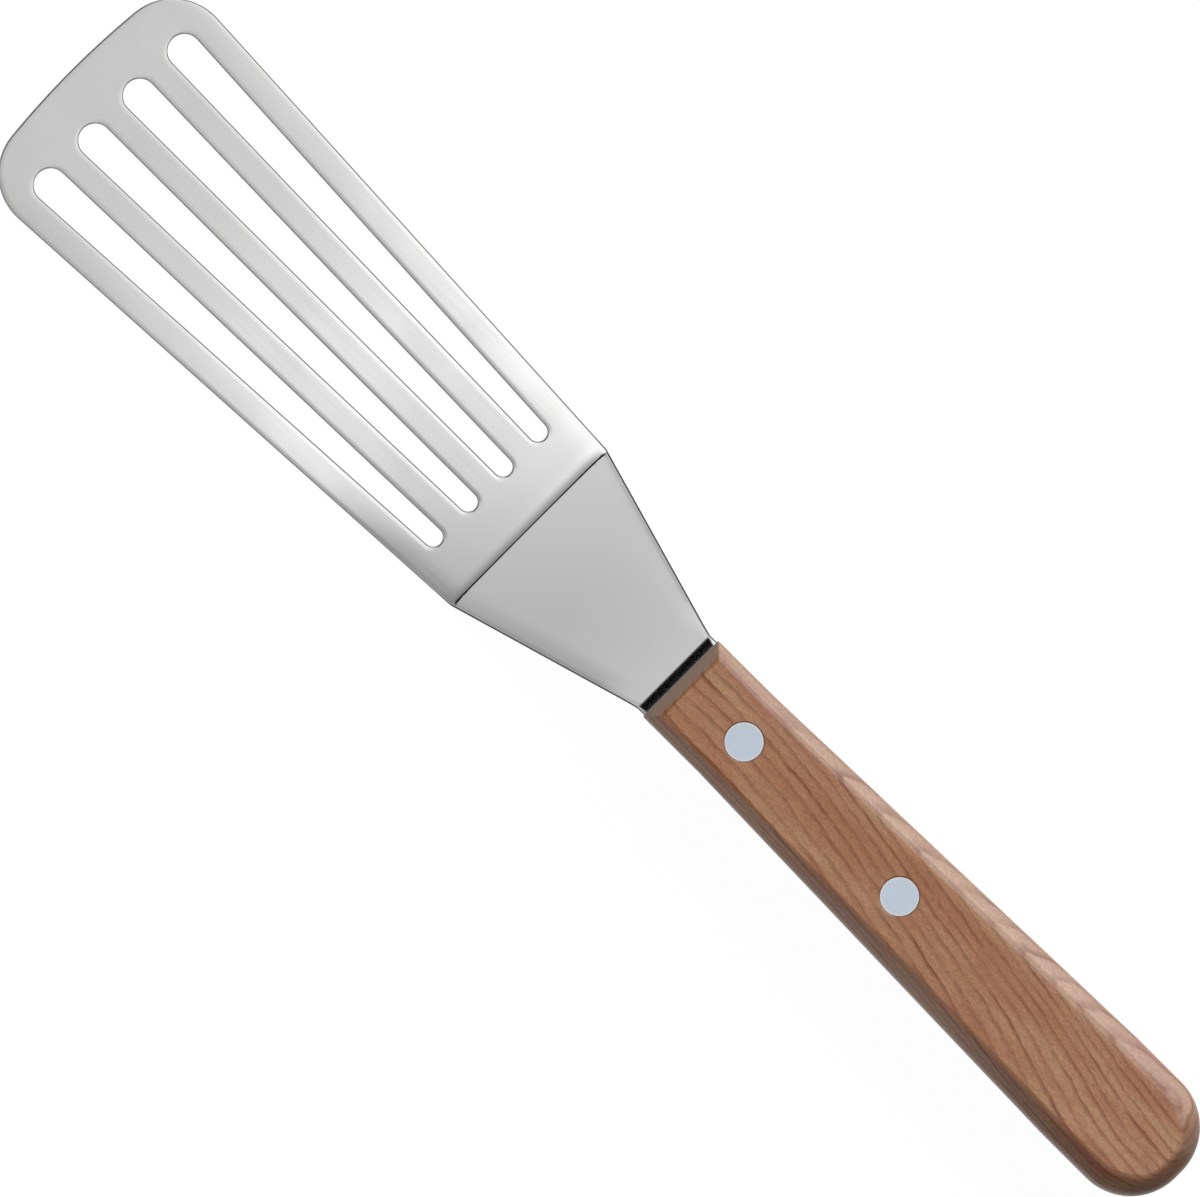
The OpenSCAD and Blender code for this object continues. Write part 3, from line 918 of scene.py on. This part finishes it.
def make_rivet(place, x):
    """The stud and the sleeve of one rivet. Their end faces close round a core too small to see."""
    seat = half_thickness(x) - rivet_head_t
    core = 0.01

    def upper_face(at):
        return axis_z + half_thickness(at)

    def upper_rim(at):
        return upper_face(at) - rivet_bevel

    def lower_face(at):
        return axis_z - half_thickness(at)

    def lower_rim(at):
        return lower_face(at) + rivet_bevel

    low, high = axis_z - seat, axis_z + seat
    rim = rivet_head_r - rivet_bevel
    stud = turned_piece(place + "_stud_turned", x, [
        (core, upper_face, rim, upper_face, False),
        (rim, upper_face, rivet_head_r, upper_rim, False),
        (rivet_head_r, upper_rim, rivet_head_r, high, False),
        (rivet_head_r, high, rivet_stud_r, high, False),
        (rivet_stud_r, high, rivet_stud_r, low + rivet_end_gap, False),
        (rivet_stud_r, low + rivet_end_gap, core, low + rivet_end_gap, False),
    ])
    tube_top = high - rivet_end_gap
    sleeve = turned_piece(place + "_sleeve_turned", x, [
        (core, low, rivet_stud_r, low, False),
        (rivet_stud_r, tube_top, rivet_stud_r, low, True),
        (rivet_stud_r, tube_top, rivet_sleeve_r, tube_top, False),
        (rivet_sleeve_r, tube_top, rivet_sleeve_r, low, False),
        (rivet_sleeve_r, low, rivet_head_r, low, False),
        (rivet_head_r, low, rivet_head_r, lower_rim, False),
        (rivet_head_r, lower_rim, rim, lower_face, False),
        (rim, lower_face, core, lower_face, False),
    ])
    return stud, sleeve


# Aluminium, ground flush and sanded: pale and faintly blue, with a soft shine and short fine scratches.
def sanded_aluminium():
    material, add = new_material("aluminium_sanded_flush")
    in_mm = place_in_mm(add)
    # Scratches of 240 grit are 0.06 mm wide. That is too fine to show, so they are drawn at 0.18 mm.
    scratch_gap, scratch_len = 0.18, 5.0
    scratch_scale = (1 / scratch_len, 1 / scratch_gap, 1 / scratch_len)
    scaled = add("VectorMath", [in_mm, scratch_scale], "MULTIPLY")
    scratches = add("TexNoise", {"Vector": scaled, "Scale": 1.0, "Detail": 3.0, "Roughness": 0.6})
    ground = add("Mix", {0: scratches, 6: linear("#CAD7E5"), 7: linear("#D6E2EE")}, **in_colour).outputs[2]
    # The rim is painted bright: a pinkish white painted highlight round the small bevel.
    flat_place = add("VectorMath", [in_mm, (1, 1, 0)], "MULTIPLY")
    from_axes = [
        add("VectorMath", [flat_place, (x, 0, 0)], "DISTANCE").outputs["Value"]
        for x in rivet_xs
    ]
    from_axis = add("Math", from_axes, "MINIMUM")
    rim_painted_highlight = add("MapRange", [from_axis, rivet_head_r - 0.45, rivet_head_r - 0.2, 0.0, 0.8], **eased)
    colour = add("Mix", {0: rim_painted_highlight, 6: ground, 7: linear("#F2ECEC")}, **in_colour).outputs[2]
    roughness = add("MapRange", [scratches, 0.3, 0.7, 0.3, 0.42])
    bump = add("Bump", {"Strength": 0.2, "Distance": 0.01 * MM, "Height": scratches})
    shader = add("BsdfPrincipled", {
        "Base Color": colour, "Metallic": 1.0, "Roughness": roughness, "Normal": bump,
    })
    add("OutputMaterial", [shader])
    return material


aluminium = sanded_aluminium()
for place, x in (("front_rivet", front_rivet_x), ("rear_rivet", rear_rivet_x)):
    for piece, half in zip(make_rivet(place, x), ("stud", "sleeve")):
        piece.data.materials.append(aluminium)
        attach(piece, "root")
        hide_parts(place + "_" + half)

# Table and studio. A white table under a large soft lamp at the side, in a white room, with a black card
# hung over the tip so that the bends of the sheet show dark.
floor_half = 3000.0


# White laminate, matt. What the camera and the metal see of it is mostly plain white, and the rest of it
# is lit, which keeps the shadow.
def table_white():
    material, add = new_material("white_laminate_matt")
    lit_share, plain_level = 0.08, 1.055
    seen = add("LightPath").outputs
    direct = add("Math", [seen["Is Camera Ray"], seen["Is Glossy Ray"]], "MAXIMUM")
    direct = add("Math", [direct, seen["Is Transmission Ray"]], "MAXIMUM")
    share = add("Math", [direct, 1 - lit_share], "MULTIPLY")
    lit = add("BsdfDiffuse", {"Color": linear("#D8D8D8")})
    plain = add("Emission", {"Color": linear("#FFFFFF"), "Strength": plain_level})
    add("OutputMaterial", [add("MixShader", [share, lit, plain])])
    return material


def studio_sheet(name, points, faces, material):
    """A flat or folded sheet that stands in the studio, from points in mm."""
    mesh = bpy.data.meshes.new(name)
    mesh.from_pydata([[c * MM for c in p] for p in points], [], faces)
    mesh.materials.append(material)
    return add_object(name, mesh)


corners = [(x * floor_half, y * floor_half, 0) for x, y in ((-1, -1), (1, -1), (1, 1), (-1, 1))]
white_table = studio_sheet("white_table", corners, [(0, 1, 2, 3)], table_white())


def studio_world():
    """White for the camera, dim and even as fill light, and for gloss a white room with a black card."""
    world = bpy.data.worlds.new("white_room")
    bpy.context.scene.world = world
    world.use_nodes = True
    world.node_tree.nodes.clear()
    add = partial(add_node, world.node_tree)
    way = add("SeparateXYZ", [add("TexCoord").outputs["Generated"]]).outputs
    # Places on the ceiling, in heights of the ceiling, towards the tip and towards +Y.
    height = add("Math", [way["Z"], 0.05], "MAXIMUM")
    to_tip = add("Math", [way["X"], height], "DIVIDE")
    to_side = add("Math", [way["Y"], height], "DIVIDE")
    aside = add("Math", [to_side], "ABSOLUTE")
    # The black card starts just past the middle and widens towards the tip.
    card_half = add("Math", [to_tip, 0.35], "MULTIPLY")
    beside_card = add("Math", [aside, card_half], "SUBTRACT")
    card = add("MapRange", [to_tip, 0.07, 0.12], **eased)
    for limit in (
        add("MapRange", [to_tip, 1.15, 1.4, 1.0, 0.0], **eased),
        add("MapRange", [beside_card, 0.04, 0.12, 1.0, 0.0], **eased),
    ):
        card = add("Math", [card, limit], "MULTIPLY")
    # The ceiling is bright at -Y and dark at +Y, and even far out and over the tip.
    even_level = 1.02
    ceiling = add("MapRange", [to_side, -0.18, 0.16, 1.68, 0.36], **eased)
    evened = add("Math", [
        add("MapRange", [aside, 0.3, 0.6, 0.0, 0.85], **eased),
        add("MapRange", [to_tip, 0.3, 0.9, 0.0, 0.7], **eased),
    ], "MAXIMUM")
    ceiling = add("Mix", {0: evened, 2: ceiling, 3: even_level})
    no_card = add("Math", [1.0, card], "SUBTRACT")
    ceiling = add("Math", [ceiling, no_card], "MULTIPLY")
    # The walls are a little brighter at -Y, and a little darker behind the butt and at +Y.
    wall = 0.8
    for operation, side, start, end, at_start, at_end in (
        ("ADD", "Y", -0.8, -0.3, 0.2, 0.0),
        ("SUBTRACT", "X", -0.8, -0.3, 0.1, 0.0),
        ("SUBTRACT", "Y", 0.3, 0.8, 0.0, 0.1),
    ):
        change = add("MapRange", [way[side], start, end, at_start, at_end], **eased)
        wall = add("Math", [wall, change], operation)
    overhead = add("MapRange", [way["Z"], 0.35, 0.6], **eased)
    below = add("Math", [1.0, overhead], "SUBTRACT")
    room = add("Math", [
        add("Math", [overhead, ceiling], "MULTIPLY"),
        add("Math", [wall, below], "MULTIPLY"),
    ], "ADD")
    fill_level = 0.15
    seen = add("LightPath").outputs
    level = add("Mix", {0: seen["Is Glossy Ray"], 2: fill_level, 3: room})
    plain = add("Math", [seen["Is Camera Ray"], seen["Is Transmission Ray"]], "MAXIMUM")
    level = add("Mix", {0: plain, 2: level, 3: 1.0})
    add("OutputWorld", [add("Background", {"Color": linear("#FFFFFF"), "Strength": level})])


studio_world()


def hang_lamp(name, centre, length, width, radiance):
    """A lamp of that size and place in mm, facing down, that the camera does not see."""
    lamp = bpy.data.lights.new(name, "AREA")
    lamp.shape = "RECTANGLE"
    lamp.size, lamp.size_y = length * MM, width * MM
    lamp.energy = radiance * math.pi * length * width * MM * MM
    lamp_object = add_object(name, lamp)
    lamp_object.location = Vector(centre) * MM
    lamp_object.visible_camera = False
    return lamp_object


# One square soft lamp, from above at the side. At a level of 1, a white thing under it renders white.
lamp_way = Vector((0.0, -0.615, 0.787)).normalized()
lamp_distance = 2000.0
lamp_side = 1200.0
lamp_level = 1.05
lamp_radiance = lamp_level * math.pi * (lamp_distance / lamp_side) ** 2
soft_lamp = hang_lamp("soft_lamp", lamp_way * lamp_distance, lamp_side, lamp_side, lamp_radiance)
soft_lamp.rotation_euler = lamp_way.to_track_quat("Z", "Y").to_euler()
soft_lamp.visible_glossy = False

# Three small lamps with honeycomb grids, hung close over the blade. Only gloss shows them, as soft glows over
# the tip half, across the middle, and along one margin beside the heel.
grid_half = math.radians(14)
gathered = math.tan(grid_half) / (math.tan(grid_half) - grid_half)
for name, centre, length, width, turn, level in (
    ("grid_lamp_tip", (110, 4, 330), 115.0, 200.0, 0, 0.23),
    ("grid_lamp_middle", (69, 12, 300), 240.0, 50.0, 75, 0.77),
    ("grid_lamp_heel", (53, -48, 270), 70.0, 50.0, 0, 0.36),
):
    grid_lamp = hang_lamp(name, centre, length, width, level / gathered)
    grid_lamp.data.spread = 2 * grid_half
    grid_lamp.rotation_euler = (0, 0, math.radians(turn))
    grid_lamp.visible_diffuse = False

# A strip lamp, low at the side of the handle. Only the oiled wood shows it, as a pale sheen on its chamfer.
strip_lamp = hang_lamp("strip_lamp", (-60, -420, 85), 240.0, 150.0, 2.8)
strip_lamp.rotation_euler = (math.pi / 2, 0, 0)
strip_lamp.visible_diffuse = False
strip_lamp.light_linking.receiver_collection = bpy.data.collections.new("oiled_wood")
strip_lamp.light_linking.receiver_collection.objects.link(handle_wood)

# A black card stands round the butt, out of sight. Only gloss shows it, as the dark of the rounded end.
card_foot = [(-235, -30), (-235, 45), (-185, 95), (-110, 110)]
card_h = 110.0
card_points = [(x, y, z) for z in (0, card_h) for x, y in card_foot]
panels = [(k, k + 1, k + 5, k + 4) for k in range(3)]
black_paper, add = new_material("black_paper")
add("OutputMaterial", [add("Emission", {"Color": linear("#000000"), "Strength": 0.0})])
black_card = studio_sheet("black_card", card_points, panels, black_paper)
black_card.visible_camera = False
black_card.visible_diffuse = False
black_card.visible_shadow = False

# Camera straight above, far enough to see all of the tool square on, turned so that the tip is up and left.
view_w = 226.4
view_centre = Vector((6.286, 0, 12.0))
camera_height = 9000.0
sensor_w = 36.0
camera = bpy.data.cameras.new("view_from_above")
camera.sensor_width = sensor_w
camera.lens = sensor_w * camera_height / view_w
camera.clip_start, camera.clip_end = 0.1, 100.0
camera_object = add_object("view_from_above", camera)
view_right = Vector((-0.7086, -0.7056, 0)).normalized()
view_up = Vector((0.7056, -0.7086, 0)).normalized()
turned = Matrix((view_right, view_up, Vector((0, 0, 1)))).transposed().to_4x4()
camera_object.matrix_world = Matrix.Translation((view_centre + Vector((0, 0, camera_height))) * MM) @ turned
bpy.context.scene.camera = camera_object
bpy.context.scene.view_settings.view_transform = "Standard"
